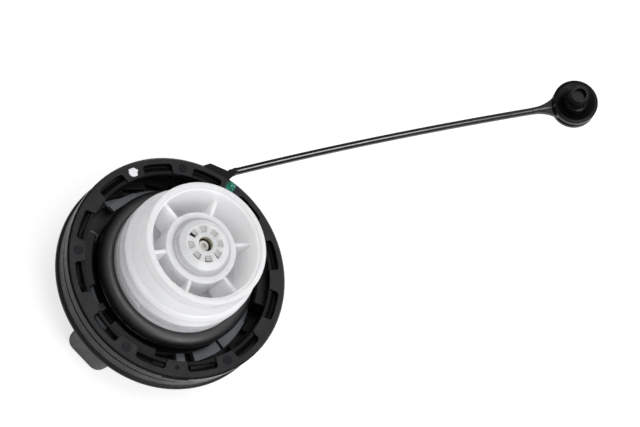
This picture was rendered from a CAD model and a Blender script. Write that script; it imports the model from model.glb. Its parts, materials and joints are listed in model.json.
import json
import math

import bmesh
import bpy
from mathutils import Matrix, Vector, noise


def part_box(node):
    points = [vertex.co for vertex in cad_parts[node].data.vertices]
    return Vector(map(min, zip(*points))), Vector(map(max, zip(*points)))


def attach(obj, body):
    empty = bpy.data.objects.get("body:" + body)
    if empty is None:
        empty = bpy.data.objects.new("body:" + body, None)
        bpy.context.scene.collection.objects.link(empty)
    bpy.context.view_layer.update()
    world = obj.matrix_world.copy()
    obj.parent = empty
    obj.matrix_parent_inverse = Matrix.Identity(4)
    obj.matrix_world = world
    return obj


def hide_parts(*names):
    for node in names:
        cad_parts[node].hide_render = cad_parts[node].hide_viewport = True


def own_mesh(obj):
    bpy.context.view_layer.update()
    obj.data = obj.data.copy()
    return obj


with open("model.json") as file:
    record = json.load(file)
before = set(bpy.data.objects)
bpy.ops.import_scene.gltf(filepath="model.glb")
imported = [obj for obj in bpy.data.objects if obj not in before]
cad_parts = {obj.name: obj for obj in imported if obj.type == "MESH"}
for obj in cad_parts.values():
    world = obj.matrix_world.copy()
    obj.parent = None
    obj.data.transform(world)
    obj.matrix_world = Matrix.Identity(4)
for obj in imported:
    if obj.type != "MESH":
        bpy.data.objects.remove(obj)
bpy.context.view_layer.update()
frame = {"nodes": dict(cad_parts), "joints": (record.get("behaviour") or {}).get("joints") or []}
nodes = frame["nodes"]

MM = 0.001

# Tether ring
FACE_Z = 28.2 * MM                    # its slotted face
LAND_R = 35.3 * MM                    # middle of the lands between its slots
LUG_R = 42 * MM                       # just outside its lug
PIN_ANGLES = (131.2, 161.2, 221.2, 281.2, 341.2)    # lands with a round mark, degrees
DAB_ANGLE = 161.2                     # land with the white dab, degrees

# Strap, one long arc whose axis leans
STRAP_ROOT = (42.95 * MM, 104.15, 26.0 * MM)        # radius, angle in degrees, level
STRAP_DIRECTION = 64.55               # as it leaves the ring, degrees
STRAP_LEAN = math.radians(24.35)
STRAP_LENGTH = 126.8 * MM
STRAP_BEND = math.radians(27.4)       # over its whole length

# Slots in the valve cover
SLOT_IN, SLOT_OUT = 4.03 * MM, 6.17 * MM
SLOT_HALF = 13.2                      # degrees
WEB_LEVEL = 50.4 * MM                 # upper side of the webs in them

# Green paint
DEEP_GREEN, THIN_GREEN, PALE_GREEN = (0.002, 0.03, 0.022), (0.008, 0.15, 0.10), (0.42, 0.75, 0.62)


def round_the_axis(radius, angle, z):
    """A place given by its radius and angle (degrees) round the cap's axis."""
    turn = math.radians(angle)
    return Vector((radius * math.cos(turn), radius * math.sin(turn), z))


def shade(tone, share=1.0):
    """A tone, or a share of it, as an opaque colour."""
    return tuple(channel * share for channel in tone) + (1.0,)


def grey(value, warmth=0.0):
    """A grey as an opaque colour; a warmth below 0 makes it bluish."""
    return (value * (1 + warmth), value, value * (1 - warmth), 1.0)


# Node trees and finishes

class Nodes:
    """A node tree with short ways to add to it. Each input is a value or another node's output."""

    def __init__(self, tree):
        self.tree = tree

    def put(self, socket, value):
        if isinstance(value, bpy.types.NodeSocket):
            self.tree.links.new(value, socket)
        else:
            socket.default_value = value

    def node(self, kind, inputs=None, **settings):
        made = self.tree.nodes.new(kind)
        for key, value in settings.items():
            setattr(made, key, value)
        for key, value in (inputs or {}).items():
            self.put(made.inputs[key], value)
        return made

    def calc(self, operation, *values):
        """The result of one Math node."""
        return self.node("ShaderNodeMath", dict(enumerate(values)), operation=operation).outputs["Value"]

    def chain(self, operation, *values):
        """Several values joined two at a time by one operation."""
        total = values[0]
        for value in values[1:]:
            total = self.calc(operation, total, value)
        return total

    def vector(self, operation, *vectors):
        """The outputs of one Vector Math node."""
        return self.node("ShaderNodeVectorMath", dict(enumerate(vectors)), operation=operation).outputs

    def spread(self, value, low, high, start=0.3, end=0.7):
        """A value between start and end, mapped to low and high; the defaults suit noise."""
        return self.node("ShaderNodeMapRange", {
            "Value": value, "From Min": start, "From Max": end,
            "To Min": low, "To Max": high}).outputs["Result"]

    def within(self, value, start, end):
        """1 below the start, fading to 0 at the end."""
        return self.spread(value, 1, 0, start, end)

    def beyond(self, value, start, end):
        """0 below the start, rising to 1 at the end."""
        return self.spread(value, 0, 1, start, end)


class Finish(Nodes):
    """A procedural finish: one principled shader and the nodes that feed it."""

    def __init__(self, name):
        self.material = bpy.data.materials.new(name)
        self.material.use_nodes = True
        super().__init__(self.material.node_tree)
        self.shader = self.tree.nodes["Principled BSDF"]
        self.place = self.node("ShaderNodeTexCoord").outputs["Object"]

    def feed(self, socket_name, value):
        self.put(self.shader.inputs[socket_name], value)

    def fed(self, socket_name):
        """The output that feeds one of the shader's inputs so far."""
        return self.shader.inputs[socket_name].links[0].from_socket

    def level(self):
        """Height over the flat end of the grip."""
        return self.node("ShaderNodeSeparateXYZ", {"Vector": self.place}).outputs["Z"]

    def off_axis(self):
        """Distance from the cap's axis."""
        flat = self.vector("MULTIPLY", self.place, (1, 1, 0))["Vector"]
        return self.vector("LENGTH", flat)["Value"]

    def cloud(self, size, detail, stretch=None):
        """Noise whose blotches are about that size in metres."""
        place = self.place
        if stretch is not None:
            place = self.node("ShaderNodeMapping", {"Vector": place, "Scale": stretch}).outputs["Vector"]
        return self.node("ShaderNodeTexNoise", {
            "Vector": place, "Scale": 1.0 / size, "Detail": detail}).outputs["Fac"]

    def mixed(self, share, first, second):
        """The first tone, turning into the second as the share grows."""
        return self.node("ShaderNodeMix", {0: share, 6: first, 7: second}, data_type="RGBA").outputs[2]

    def clouded(self, size, detail, first, second):
        """Two tones in soft blotches of that size."""
        return self.mixed(self.spread(self.cloud(size, detail), 0, 1), first, second)

    def overlay(self, share, tone):
        """Lay a tone over the colour so far."""
        self.feed("Base Color", self.mixed(share, self.fed("Base Color"), tone))

    def relief(self, height, depth, soft_edge):
        """Surface relief of that depth in metres, over edges rounded by soft_edge."""
        rounded = self.node("ShaderNodeBevel", {"Radius": soft_edge}, samples=4).outputs["Normal"]
        made = self.node("ShaderNodeBump", {"Height": height, "Distance": depth, "Normal": rounded})
        self.feed("Normal", made.outputs["Normal"])


def moulded_black(name, tone, roughness, gloss, grain, depth, edge=0.12 * MM, blue=0.04):
    """Moulded plastic, black or grey, with a fine grain and slightly uneven gloss."""
    finish = Finish(name)
    finish.feed("Base Color", finish.clouded(
        6 * MM, 4.0, grey(tone * 0.85, -blue), grey(tone * 1.2, -blue)))
    streaks = finish.cloud(2.2 * MM, 5.0, (1.0, 1.0, 0.25))
    finish.feed("Roughness", finish.spread(streaks, roughness - 0.05, roughness + 0.07))
    finish.feed("Specular IOR Level", gloss)
    waves = finish.calc("MULTIPLY", finish.cloud(grain * 9, 2.0), 1.6)
    finish.relief(finish.calc("ADD", finish.cloud(grain, 2.0), waves), depth, edge)
    return finish


def moulded_white(name, tone, roughness, glow):
    """Pale moulded plastic. With glow, light passes a little way into it."""
    finish = Finish(name)
    low = tuple(channel * share for channel, share in zip(tone, (0.975, 0.97, 0.98)))
    finish.feed("Base Color", finish.clouded(7 * MM, 3.0, shade(low), shade(tone)))
    finish.feed("Roughness", finish.spread(
        finish.cloud(1.8 * MM, 4.0), roughness - 0.05, roughness + 0.06))
    finish.feed("Subsurface Weight", glow)
    finish.feed("Subsurface Radius", (1.0, 0.97, 0.93))
    finish.feed("Subsurface Scale", 16 * MM)
    waves = finish.calc("MULTIPLY", finish.cloud(3 * MM, 2.0), 2.0)
    finish.relief(finish.calc("ADD", finish.cloud(0.25 * MM, 2.0), waves), 0.006 * MM, 0.06 * MM)
    return finish


def smooth_rubber(name, tone, roughness, gloss=0.5):
    """Smooth black rubber, a little uneven."""
    finish = Finish(name)
    finish.feed("Base Color", finish.clouded(5 * MM, 5.0, grey(tone * 0.8), grey(tone * 1.3)))
    finish.feed("Roughness", finish.spread(
        finish.cloud(3 * MM, 5.0), roughness - 0.05, roughness + 0.08))
    finish.feed("Specular IOR Level", gloss)
    height = finish.calc("ADD", finish.cloud(0.2 * MM, 3.0), finish.cloud(2.5 * MM, 2.0))
    finish.relief(height, 0.008 * MM, 0.15 * MM)
    return finish


def drawn_metal(name, tone, roughness):
    """Metal with fine lines that run with the cap's axis."""
    finish = Finish(name)
    lines = finish.cloud(0.35 * MM, 4.0, (1.0, 1.0, 0.2))
    finish.feed("Base Color", finish.mixed(finish.spread(lines, 0, 1), shade(tone, 0.8), shade(tone)))
    finish.feed("Metallic", 1.0)
    finish.feed("Roughness", finish.spread(lines, roughness - 0.06, roughness + 0.08))
    finish.relief(lines, 0.004 * MM, 0.06 * MM)
    return finish


def thick_paint(name, tone):
    """Paint laid on thickly, with an uneven skin."""
    finish = Finish(name)
    finish.feed("Base Color", finish.clouded(0.5 * MM, 4.0, shade(tone, 0.8), shade(tone)))
    finish.feed("Roughness", finish.spread(finish.cloud(0.8 * MM, 3.0), 0.3, 0.5))
    finish.relief(finish.cloud(0.5 * MM, 4.0), 0.06 * MM, 0.05 * MM)
    return finish


# Tones that lie only on some places of a piece

def grey_grip(finish, low, high, tone):
    """A greyer, patchy tone on the end of the grip, fading out between two levels."""
    patchy = finish.calc("MULTIPLY", finish.spread(finish.cloud(4 * MM, 4.0), -1, 1), 0.6 * MM)
    share = finish.within(finish.calc("ADD", finish.level(), patchy), low, high)
    greyer = finish.mixed(finish.cloud(1.5 * MM, 5.0), grey(tone * 0.8), grey(tone * 1.2))
    finish.overlay(share, greyer)


def grey_lands(finish, tone):
    """A greyer tone on the face of the tether ring, not in its slots."""
    inside = finish.within(finish.off_axis(), LUG_R - 0.5 * MM, LUG_R)
    above = finish.beyond(finish.level(), FACE_Z - 0.3 * MM, FACE_Z - 0.1 * MM)
    finish.overlay(finish.calc("MULTIPLY", inside, above), finish.clouded(
        5 * MM, 4.0, grey(tone * 0.75, -0.03), grey(tone * 1.25, -0.03)))


def pale_groove(finish, tone):
    """A light line on the floor of the strap's groove, which follows the strap's long arc."""
    root = round_the_axis(*STRAP_ROOT)
    forward = round_the_axis(1, STRAP_DIRECTION, 0)
    side = round_the_axis(1, STRAP_DIRECTION - 90, 0)
    lean_cos, lean_sin = math.cos(STRAP_LEAN), math.sin(STRAP_LEAN)
    axis = side * lean_cos - Vector((0, 0, 1)) * lean_sin
    arc_radius = STRAP_LENGTH / STRAP_BEND
    centre = root + axis.cross(forward) * arc_radius

    # Place in the arc's own frame, then in the strap's section
    off = finish.vector("SUBTRACT", finish.place, centre)["Vector"]
    across = finish.vector("DOT_PRODUCT", off, axis)["Value"]
    along_axis = finish.node(
        "ShaderNodeVectorMath", {0: axis, "Scale": across}, operation="SCALE").outputs["Vector"]
    spoke = finish.vector("SUBTRACT", off, along_axis)["Vector"]
    inward = finish.calc("SUBTRACT", arc_radius, finish.vector("LENGTH", spoke)["Value"])
    aside = finish.calc("ADD", finish.calc("MULTIPLY", across, lean_cos),
                        finish.calc("MULTIPLY", inward, lean_sin))
    height = finish.calc("SUBTRACT", finish.calc("MULTIPLY", inward, lean_cos),
                         finish.calc("MULTIPLY", across, lean_sin))
    from_root = finish.vector("SUBTRACT", finish.place, root)["Vector"]
    ahead = finish.vector("DOT_PRODUCT", from_root, forward)["Value"]
    away = finish.vector("LENGTH", from_root)["Value"]

    share = finish.chain(
        "MULTIPLY",
        finish.within(finish.calc("ABSOLUTE", aside), 0.14 * MM, 0.24 * MM),
        finish.beyond(height, 0.35 * MM, 0.45 * MM),
        finish.beyond(ahead, 0.5 * MM, 2.5 * MM),
        finish.spread(away, 1, 0.4, 60 * MM, 110 * MM),
        finish.within(away, 123 * MM, 126 * MM),
        finish.spread(finish.cloud(3 * MM, 3.0), 0.7, 1))
    finish.overlay(share, grey(tone))


def pin_marks(finish, angles, reach, tone):
    """Smooth bluish discs left by the mould's pins on the lands of the tether ring."""
    away = [finish.vector("DISTANCE", finish.place, round_the_axis(LAND_R, angle, FACE_Z))["Value"]
            for angle in angles]
    share = finish.within(finish.chain("MINIMUM", *away), reach - 0.1 * MM, reach + 0.1 * MM)
    finish.overlay(share, shade(tone))


def green_mark(finish, angle, radius, length, width, roughness):
    """A ragged, streaky mark of green paint across one land of the tether ring."""
    turned = finish.node("ShaderNodeMapping", {
        "Vector": finish.place, "Rotation": (0, 0, -math.radians(angle))}).outputs["Vector"]
    off = finish.vector("SUBTRACT", turned, (radius, 0, FACE_Z))["Vector"]
    scaled = finish.vector("MULTIPLY", off, (1 / length, 1 / width, 1 / length))["Vector"]
    ragged = finish.spread(finish.cloud(0.9 * MM, 4.0), -0.35, 0.35)
    away = finish.calc("ADD", finish.vector("LENGTH", scaled)["Value"], ragged)
    share = finish.within(away, 0.85, 1.15)
    drawn_out = finish.node("ShaderNodeMapping", {"Vector": off, "Scale": (2.2, 1.0, 1.0)})
    streaks = finish.node("ShaderNodeTexNoise", {
        "Vector": drawn_out.outputs["Vector"], "Scale": 1 / (1.1 * MM), "Detail": 2.0,
        "Distortion": 1.2}).outputs["Fac"]
    thin = finish.mixed(finish.beyond(streaks, 0.35, 0.55), shade(DEEP_GREEN), shade(THIN_GREEN))
    finish.overlay(share, finish.mixed(finish.beyond(streaks, 0.62, 0.70), thin, shade(PALE_GREEN)))
    finish.feed("Roughness", finish.node("ShaderNodeMix", {
        0: share, 2: finish.fed("Roughness"), 3: roughness}, data_type="FLOAT").outputs[0])


def dark_web(finish, reach, tone):
    """A darker tone on the torque plate's web, inside its arms and lobes."""
    finish.overlay(finish.within(finish.off_axis(), reach, reach + 0.3 * MM), grey(tone))


def grey_nose(finish, reach, rim_level, tone, rim_share):
    """A greyer tone on the nose outside a radius, and darker on its rim; the pocket keeps its own."""
    outside = finish.beyond(finish.off_axis(), reach - 0.5 * MM, reach + 0.5 * MM)
    rim = finish.beyond(finish.level(), rim_level, rim_level + 1 * MM)
    side = finish.clouded(5 * MM, 4.0, shade(tone, 0.97), shade(tone))
    finish.overlay(finish.calc("MAXIMUM", outside, rim), finish.mixed(rim, side, shade(tone, rim_share)))


def tinted_hole(finish, reach, level, tone):
    """An olive tone on the wall of the middle hole, below a level."""
    inside = finish.within(finish.off_axis(), reach - 0.1 * MM, reach)
    below = finish.within(finish.level(), level - 0.3 * MM, level)
    finish.overlay(finish.calc("MULTIPLY", inside, below), shade(tone))


cover_black = moulded_black(
    "cover_black", 0.004, roughness=0.36, gloss=0.2, grain=0.16 * MM, depth=0.014 * MM, edge=0.2 * MM)
grey_grip(cover_black, low=12 * MM, high=15 * MM, tone=0.035)
housing_black = moulded_black(
    "housing_black", 0.005, roughness=0.28, gloss=0.16, grain=0.13 * MM, depth=0.008 * MM)
tether_black = moulded_black(
    "tether_black", 0.002, roughness=0.24, gloss=0.14, grain=0.13 * MM, depth=0.010 * MM)
grey_lands(tether_black, tone=0.016)
pale_groove(tether_black, tone=0.6)
pin_marks(tether_black, PIN_ANGLES, reach=1.6 * MM, tone=(0.004, 0.0045, 0.007))
green_mark(tether_black, angle=101.8, radius=36.0 * MM, length=4.4 * MM, width=1.6 * MM, roughness=0.15)
plate_grey = moulded_black(
    "plate_grey", 0.11, roughness=0.16, gloss=0.4, grain=0.2 * MM, depth=0.006 * MM, blue=0.1)
dark_web(plate_grey, reach=27.3 * MM, tone=0.003)
closure_white = moulded_white("closure_white", (0.99, 0.99, 0.995), roughness=0.32, glow=0.9)
grey_nose(closure_white, reach=19.6 * MM, rim_level=50.8 * MM, tone=(0.88, 0.88, 0.893), rim_share=0.69)
cover_white = moulded_white("cover_white", (0.985, 0.98, 0.97), roughness=0.34, glow=0.82)
tinted_hole(cover_white, reach=2.75 * MM, level=50.7 * MM, tone=(0.42, 0.40, 0.28))
web_white = moulded_white("web_white", (0.37, 0.37, 0.36), roughness=0.4, glow=0.0)
retainer_white = moulded_white("retainer_white", (0.88, 0.88, 0.88), roughness=0.36, glow=0.5)
plunger_grey = moulded_white("plunger_grey", (0.62, 0.61, 0.58), roughness=0.45, glow=0.3)
gasket_black = smooth_rubber("gasket_black", 0.004, roughness=0.42, gloss=0.7)
seal_black = smooth_rubber("seal_black", 0.02, roughness=0.55)
plate_brass = drawn_metal("plate_brass", (0.55, 0.43, 0.18), roughness=0.32)
spring_steel = drawn_metal("spring_steel", (0.62, 0.63, 0.65), roughness=0.22)
paint_white = thick_paint("paint_white", (0.95, 0.95, 0.97))

NODE_FINISHES = {
    "outer_cover": cover_black, "ratchet_housing": housing_black, "tether": tether_black,
    "torque_plate": plate_grey, "closure_body": closure_white, "neck_gasket": gasket_black,
    "valve_cover": cover_white, "pressure_plate": plate_brass, "pressure_seal": seal_black,
    "pressure_spring": spring_steel, "spring_retainer": retainer_white, "vacuum_valve": plunger_grey,
    "vacuum_seal": seal_black, "vacuum_spring": spring_steel, "stem_clip": spring_steel}
for node_name, finish in NODE_FINISHES.items():
    for material_slot in nodes[node_name].material_slots:
        material_slot.material = finish.material


# Pieces made here

def add_object(name, data):
    """An object at the origin; a piece has its place in its mesh."""
    made = bpy.data.objects.new(name, data)
    bpy.context.scene.collection.objects.link(made)
    return made


def closed_piece(name, shape, finish, smooth):
    """A piece from a drawn shape, with its faces turned outwards."""
    bmesh.ops.recalc_face_normals(shape, faces=shape.faces)
    mesh = bpy.data.meshes.new(name)
    shape.to_mesh(mesh)
    shape.free()
    for face in mesh.polygons:
        face.use_smooth = smooth
    mesh.materials.append(finish.material)
    return add_object(name, mesh)


def paint_dab(name, angle, reach, thickness, finish):
    """A small raised dab of paint with an uneven outline, lying on one land."""
    rows, sides = 6, 40
    sunk = 0.02 * MM                  # its underside lies just below the face
    middle = round_the_axis(LAND_R, angle, FACE_Z)
    shape = bmesh.new()
    rings = []
    for row in range(1, rows + 1):
        share = row / rows
        ring = []
        for side in range(sides):
            turn = 2 * math.pi * side / sides
            x, y = math.cos(turn), math.sin(turn)
            ragged = 1 + 0.36 * noise.noise(Vector((x * 2.1, y * 2.1, angle)))
            ragged += 0.22 * noise.noise(Vector((x * 6, y * 6, angle + 3)))
            flat = Vector((x, y, 0)) * reach * share * ragged
            lump = 1 + 0.35 * noise.noise(flat / (0.7 * MM))
            rise = thickness * (1 - share ** 4) * lump - sunk
            ring.append(shape.verts.new(middle + flat + Vector((0, 0, rise))))
        rings.append(ring)
    top = shape.verts.new(middle + Vector((0, 0, thickness - sunk)))
    for side in range(sides):
        after = (side + 1) % sides
        shape.faces.new((top, rings[0][side], rings[0][after]))
        for inner, outer in zip(rings, rings[1:]):
            shape.faces.new((inner[side], outer[side], outer[after], inner[after]))
    shape.faces.new(list(reversed(rings[-1])))
    return closed_piece(name, shape, finish, smooth=True)


def slot_webs(name, level, thickness, webs, finish):
    """Thin webs in the valve cover's slots, each with its two end angles and its two radii."""
    steps = 12
    shape = bmesh.new()
    for first, last, inner_r, outer_r in webs:
        corners = ((inner_r, level), (outer_r, level),
                   (outer_r, level - thickness), (inner_r, level - thickness))
        loops = []
        for step in range(steps + 1):
            angle = first + (last - first) * step / steps
            loops.append([shape.verts.new(round_the_axis(radius, angle, z)) for radius, z in corners])
        for before, after in zip(loops, loops[1:]):
            for corner in range(4):
                beside = (corner + 1) % 4
                shape.faces.new((before[corner], before[beside], after[beside], after[corner]))
        shape.faces.new(list(reversed(loops[0])))
        shape.faces.new(loops[-1])
    return closed_piece(name, shape, finish, smooth=False)


white_dab = paint_dab("paint_dab", DAB_ANGLE, 1.75 * MM, 0.16 * MM, paint_white)
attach(white_dab, "tether")

# Each slot's middle, how far its web stops short of either end (degrees), and the web's outer radius
webs = [
    (middle - SLOT_HALF + first_cut, middle + SLOT_HALF - last_cut, SLOT_IN, outer_r)
    for middle, first_cut, last_cut, outer_r in (
        (7.6, 7.0, 0, SLOT_OUT), (52.6, 0, 0, SLOT_OUT), (97.6, 0, 0, SLOT_OUT),
        (142.6, 0, 0, SLOT_OUT), (187.6, 0, 15.0, SLOT_OUT), (232.6, 0, 0, 5.9 * MM),
        (277.6, 0, 0, 5.5 * MM), (322.6, 6.0, 0, 5.7 * MM))]
web = slot_webs("valve_cover_web", WEB_LEVEL, 0.5 * MM, webs, web_white)
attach(web, "closure")


# Coil springs of round wire, made by one node tree

def coil_tree():
    """Node tree: a round wire coil with closed end turns, standing on its low level."""
    tree = bpy.data.node_groups.new("coil_spring", "GeometryNodeTree")
    inputs = (
        ("Coil radius", "NodeSocketFloat", 6 * MM), ("Wire radius", "NodeSocketFloat", 0.5 * MM),
        ("Low", "NodeSocketFloat", 0.0), ("High", "NodeSocketFloat", 10 * MM),
        ("Turns", "NodeSocketFloat", 4.0), ("End turns", "NodeSocketFloat", 0.8),
        ("Steps", "NodeSocketInt", 160), ("Wire sides", "NodeSocketInt", 14),
        ("Wire finish", "NodeSocketMaterial", None))
    for label, kind, value in inputs:
        socket = tree.interface.new_socket(label, in_out="INPUT", socket_type=kind)
        if value is not None:
            socket.default_value = value
    tree.interface.new_socket("Coil", in_out="OUTPUT", socket_type="NodeSocketGeometry")
    grow = Nodes(tree)
    calc = grow.calc
    given = grow.node("NodeGroupInput").outputs

    # Where each point of the wire stands: turns so far, and its height over the low level
    line = grow.node("GeometryNodeCurvePrimitiveLine").outputs["Curve"]
    points = grow.node("GeometryNodeResampleCurve", {"Curve": line, "Count": given["Steps"]})
    along = grow.node("GeometryNodeSplineParameter").outputs["Factor"]
    turned = calc("MULTIPLY", along, given["Turns"])
    wire = calc("MULTIPLY", given["Wire radius"], 2.0)
    last = calc("SUBTRACT", given["Turns"], given["End turns"])
    at_start = calc("MINIMUM", turned, given["End turns"])
    at_end = calc("MAXIMUM", calc("SUBTRACT", turned, last), 0.0)
    between = calc("SUBTRACT", calc("SUBTRACT", turned, at_start), at_end)
    closed = calc("MULTIPLY", wire, calc("ADD", calc("MULTIPLY", given["End turns"], 2.0), 1.0))
    free = calc("SUBTRACT", calc("SUBTRACT", given["High"], given["Low"]), closed)
    open_turns = calc("SUBTRACT", last, given["End turns"])
    rise = calc("ADD", calc("MULTIPLY", calc("ADD", at_start, at_end), wire),
                calc("MULTIPLY", between, calc("DIVIDE", free, open_turns)))
    angle = calc("MULTIPLY", turned, 2 * math.pi)
    place = grow.node("ShaderNodeCombineXYZ", {
        "X": calc("MULTIPLY", calc("COSINE", angle), given["Coil radius"]),
        "Y": calc("MULTIPLY", calc("SINE", angle), given["Coil radius"]),
        "Z": calc("ADD", calc("ADD", given["Low"], given["Wire radius"]), rise)})

    # The wire swept along those points
    moved = grow.node("GeometryNodeSetPosition", {
        "Geometry": points.outputs["Curve"], "Position": place.outputs["Vector"]})
    section = grow.node("GeometryNodeCurvePrimitiveCircle", {
        "Resolution": given["Wire sides"], "Radius": given["Wire radius"]})
    swept = grow.node("GeometryNodeCurveToMesh", {
        "Curve": moved.outputs["Geometry"], "Profile Curve": section.outputs["Curve"],
        "Fill Caps": True})
    smooth = grow.node("GeometryNodeSetShadeSmooth", {"Geometry": swept.outputs["Mesh"]})
    realized = grow.node("GeometryNodeRealizeInstances", {"Geometry": smooth.outputs["Geometry"]})
    finished = grow.node("GeometryNodeSetMaterial", {
        "Geometry": realized.outputs["Geometry"], "Material": given["Wire finish"]})
    grow.node("NodeGroupOutput", {"Coil": finished.outputs["Geometry"]})
    return tree


def grown(name, tree, sizes):
    """A plain mesh piece made by a node tree from its named sizes."""
    seed = add_object(name + "_seed", bpy.data.meshes.new(name + "_seed"))
    modifier = seed.modifiers.new("grow", "NODES")
    modifier.node_group = tree
    for item in tree.interface.items_tree:
        if item.item_type == "SOCKET" and item.in_out == "INPUT" and item.name in sizes:
            modifier[item.identifier] = sizes[item.name]
    evaluated = seed.evaluated_get(bpy.context.evaluated_depsgraph_get())
    mesh = bpy.data.meshes.new_from_object(evaluated)
    mesh.name = name
    bpy.data.objects.remove(seed)
    return add_object(name, mesh)


def coil_spring(name, node, wire, body, joint):
    """A round wire coil in the room of its CAD spring, pressed by its joint."""
    low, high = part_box(node)
    piece = grown(name, coil, {
        "Coil radius": high.x - wire / 2, "Wire radius": wire / 2, "Low": low.z, "High": high.z,
        "Wire finish": spring_steel.material})
    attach(piece, body)
    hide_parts(node)
    facts = next(entry for entry in frame["joints"] if entry["name"] == joint)
    travel = max(abs(limit) for limit in facts["range_m"])
    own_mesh(piece)


coil = coil_tree()
coil_spring("relief_coil", "pressure_spring", 0.9 * MM, "relief_valve", "relief_open")
coil_spring("vacuum_coil", "vacuum_spring", 0.45 * MM, "vacuum_valve", "vacuum_open")


# Floor, lights and camera

def pale_floor(reach, level):
    """A plain white floor that keeps a light shadow. It lies just under the end of the grip."""
    mesh = bpy.data.meshes.new("floor")
    corners = [(x * reach, y * reach, level) for x, y in ((-1, -1), (1, -1), (1, 1), (-1, 1))]
    mesh.from_pydata(corners, [], [(0, 1, 2, 3)])
    material = bpy.data.materials.new("floor_white")
    material.use_nodes = True
    floor_nodes = Nodes(material.node_tree)
    floor_nodes.tree.nodes.remove(floor_nodes.tree.nodes["Principled BSDF"])

    def shader(kind, inputs):
        return floor_nodes.node(kind, inputs).outputs[0]

    rays = floor_nodes.node("ShaderNodeLightPath").outputs
    seen = floor_nodes.calc("MAXIMUM", rays["Is Camera Ray"], rays["Is Transmission Ray"])
    plain = shader("ShaderNodeBsdfDiffuse", {"Color": (0.9, 0.9, 0.91, 1)})
    shadowed = shader("ShaderNodeBsdfDiffuse", {"Color": (0.35, 0.35, 0.355, 1)})
    bright = shader("ShaderNodeEmission", {"Strength": 0.72})
    background = shader("ShaderNodeAddShader", {0: shadowed, 1: bright})
    surface = shader("ShaderNodeMixShader", {0: seen, 1: plain, 2: background})
    floor_nodes.put(floor_nodes.tree.nodes["Material Output"].inputs["Surface"], surface)
    mesh.materials.append(material)
    floor = add_object("floor", mesh)


def studio_world(high, horizon, windows):
    """Soft white light from above, dimmer at the horizon, with broad brighter windows."""
    world = bpy.data.worlds.new("studio")
    world.use_nodes = True
    sky = Nodes(world.node_tree)
    aim = sky.node("ShaderNodeTexCoord").outputs["Generated"]
    upwards = sky.node("ShaderNodeSeparateXYZ", {"Vector": aim}).outputs["Z"]
    total = sky.spread(upwards, horizon, high, 0.1, 0.7)
    for direction, strength, sharpness in windows:
        facing = sky.calc("MAXIMUM", sky.vector("DOT_PRODUCT", aim, direction)["Value"], 0.0)
        total = sky.calc("MULTIPLY_ADD", sky.calc("POWER", facing, sharpness), strength, total)
    seen = sky.node("ShaderNodeLightPath").outputs["Is Camera Ray"]
    background = sky.tree.nodes["Background"]
    sky.put(background.inputs["Color"], (0.985, 0.985, 1.0, 1))
    sky.put(background.inputs["Strength"], sky.spread(seen, total, 1.0, 0, 1))
    bpy.context.scene.world = world


def softbox(name, place, target, size, power):
    """A square area light, aimed at a place."""
    lamp = bpy.data.lights.new(name, "AREA")
    lamp.shape = "RECTANGLE"
    lamp.size = lamp.size_y = size
    lamp.energy = power
    holder = add_object(name, lamp)
    holder.location = place
    holder.rotation_euler = (Vector(target) - Vector(place)).to_track_quat("-Z", "Y").to_euler()


def photo_camera():
    """The photograph's view: a 90 mm lens on a 36 mm wide frame."""
    lens = bpy.data.cameras.new("photo_camera")
    lens.lens = 90
    lens.sensor_width = 36
    lens.clip_start, lens.clip_end = 0.01, 20
    camera = add_object("photo_camera", lens)
    camera.location = (-0.014914, -0.254862, 0.498627)
    camera.rotation_euler = [math.radians(angle) for angle in (21.9378, -26.0455, 40.8607)]
    bpy.context.scene.camera = camera


CAP_MIDDLE = (0.01, 0.04, 0.03)       # where both lights aim
pale_floor(reach=4.0, level=-0.02 * MM)
studio_world(0.43, 0.13, windows=(
    ((0.05, 0.53, 0.85), 0.72, 6.0),
    ((0.58, -0.41, 0.71), 0.4, 3.0)))
softbox("top", (-0.05, 0, 1.10), CAP_MIDDLE, size=0.6, power=4.3)
softbox("front_right", (0.75, -0.27, 0.77), CAP_MIDDLE, size=0.6, power=5.0)
photo_camera()
bpy.context.scene.view_settings.view_transform = "Standard"
